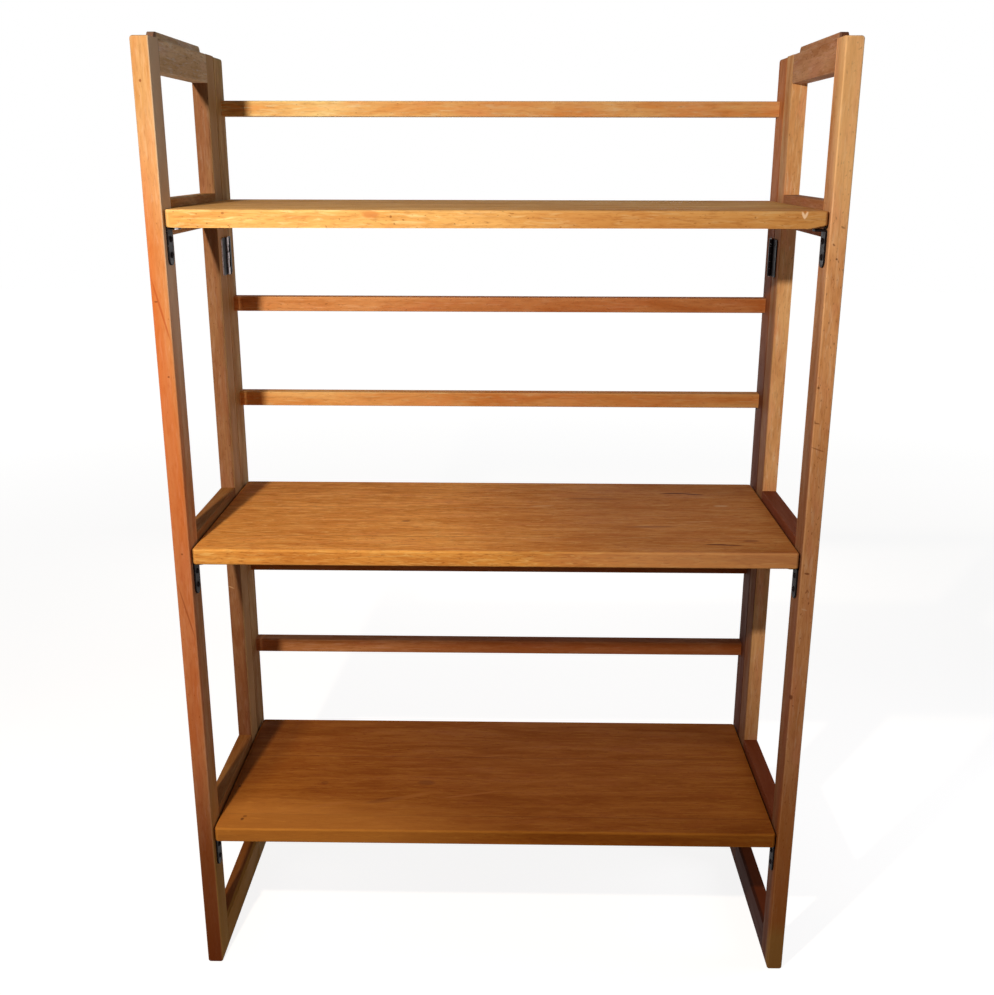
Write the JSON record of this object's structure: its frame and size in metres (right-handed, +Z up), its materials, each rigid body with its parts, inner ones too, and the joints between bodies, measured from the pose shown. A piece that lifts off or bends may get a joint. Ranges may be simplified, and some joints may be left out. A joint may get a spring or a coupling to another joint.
{
  "type": "folding bookcase",
  "caption": "Folding beech bookcase: ladder side frames hinged to a slatted back frame, with shelves that lift up on rear pins and rest on steel angle brackets.",
  "frame": {"origin": "on the floor, under the middle of the open bookcase's width and depth", "axes": "+X to the right seen from the front, +Y to the back, +Z up"},
  "size_m": [0.7, 0.284, 1.063],
  "materials": {
    "stile_wood": "oiled and aged beech, satin",
    "rail_wood": "oiled and aged beech, satin",
    "slat_wood": "oiled and aged beech, satin",
    "shelf_wood": "oiled and aged beech boards, satin",
    "dark_steel": "blackened steel, worn",
    "bright_steel": "plain drawn steel"
  },
  "bodies": {
    "frame": {"left_front_stile": "stile_wood", "left_rear_stile": "stile_wood", "left_top_rail": "rail_wood", "left_upper_rail": "rail_wood", "left_middle_rail": "rail_wood", "left_lower_rail": "rail_wood", "left_bottom_rail": "rail_wood", "right_front_stile": "stile_wood", "right_rear_stile": "stile_wood", "right_top_rail": "rail_wood", "right_upper_rail": "rail_wood", "right_middle_rail": "rail_wood", "right_lower_rail": "rail_wood", "right_bottom_rail": "rail_wood", "left_back_stile": "stile_wood", "right_back_stile": "stile_wood", "back_slat_1": "slat_wood", "back_slat_2": "slat_wood", "back_slat_3": "slat_wood", "back_slat_4": "slat_wood", "back_slat_5": "slat_wood", "upper_left_pivot_pin": "bright_steel", "upper_right_pivot_pin": "bright_steel", "middle_left_pivot_pin": "bright_steel", "middle_right_pivot_pin": "bright_steel", "lower_left_pivot_pin": "bright_steel", "lower_right_pivot_pin": "bright_steel", "upper_left_bracket": "dark_steel", "upper_left_bracket_screw_1": "dark_steel", "upper_left_bracket_screw_2": "dark_steel", "upper_right_bracket": "dark_steel", "upper_right_bracket_screw_1": "dark_steel", "upper_right_bracket_screw_2": "dark_steel", "middle_left_bracket": "dark_steel", "middle_left_bracket_screw_1": "dark_steel", "middle_left_bracket_screw_2": "dark_steel", "middle_right_bracket": "dark_steel", "middle_right_bracket_screw_1": "dark_steel", "middle_right_bracket_screw_2": "dark_steel", "lower_left_bracket": "dark_steel", "lower_left_bracket_screw_1": "dark_steel", "lower_left_bracket_screw_2": "dark_steel", "lower_right_bracket": "dark_steel", "lower_right_bracket_screw_1": "dark_steel", "lower_right_bracket_screw_2": "dark_steel", "upper_left_hinge_frame_leaf": "dark_steel", "upper_left_hinge_back_leaf": "dark_steel", "upper_left_hinge_pin": "bright_steel", "upper_right_hinge_frame_leaf": "dark_steel", "upper_right_hinge_back_leaf": "dark_steel", "upper_right_hinge_pin": "bright_steel", "lower_left_hinge_frame_leaf": "dark_steel", "lower_left_hinge_back_leaf": "dark_steel", "lower_left_hinge_pin": "bright_steel", "lower_right_hinge_frame_leaf": "dark_steel", "lower_right_hinge_back_leaf": "dark_steel", "lower_right_hinge_pin": "bright_steel"},
    "upper_shelf_body": {"upper_shelf": "shelf_wood"},
    "middle_shelf_body": {"middle_shelf": "shelf_wood"},
    "lower_shelf_body": {"lower_shelf": "shelf_wood"}
  },
  "joints": [
    {"name": "upper_shelf_lift", "type": "hinge", "parent": "frame", "child": "upper_shelf_body", "pos_m": [0, 0.118, 0.8895], "axis": [-1, 0, 0], "range_deg": [0, 90]},
    {"name": "middle_shelf_lift", "type": "hinge", "parent": "frame", "child": "middle_shelf_body", "pos_m": [0, 0.118, 0.53], "axis": [-1, 0, 0], "range_deg": [0, 90]},
    {"name": "lower_shelf_lift", "type": "hinge", "parent": "frame", "child": "lower_shelf_body", "pos_m": [0, 0.118, 0.181], "axis": [-1, 0, 0], "range_deg": [0, 90]}
  ]
}
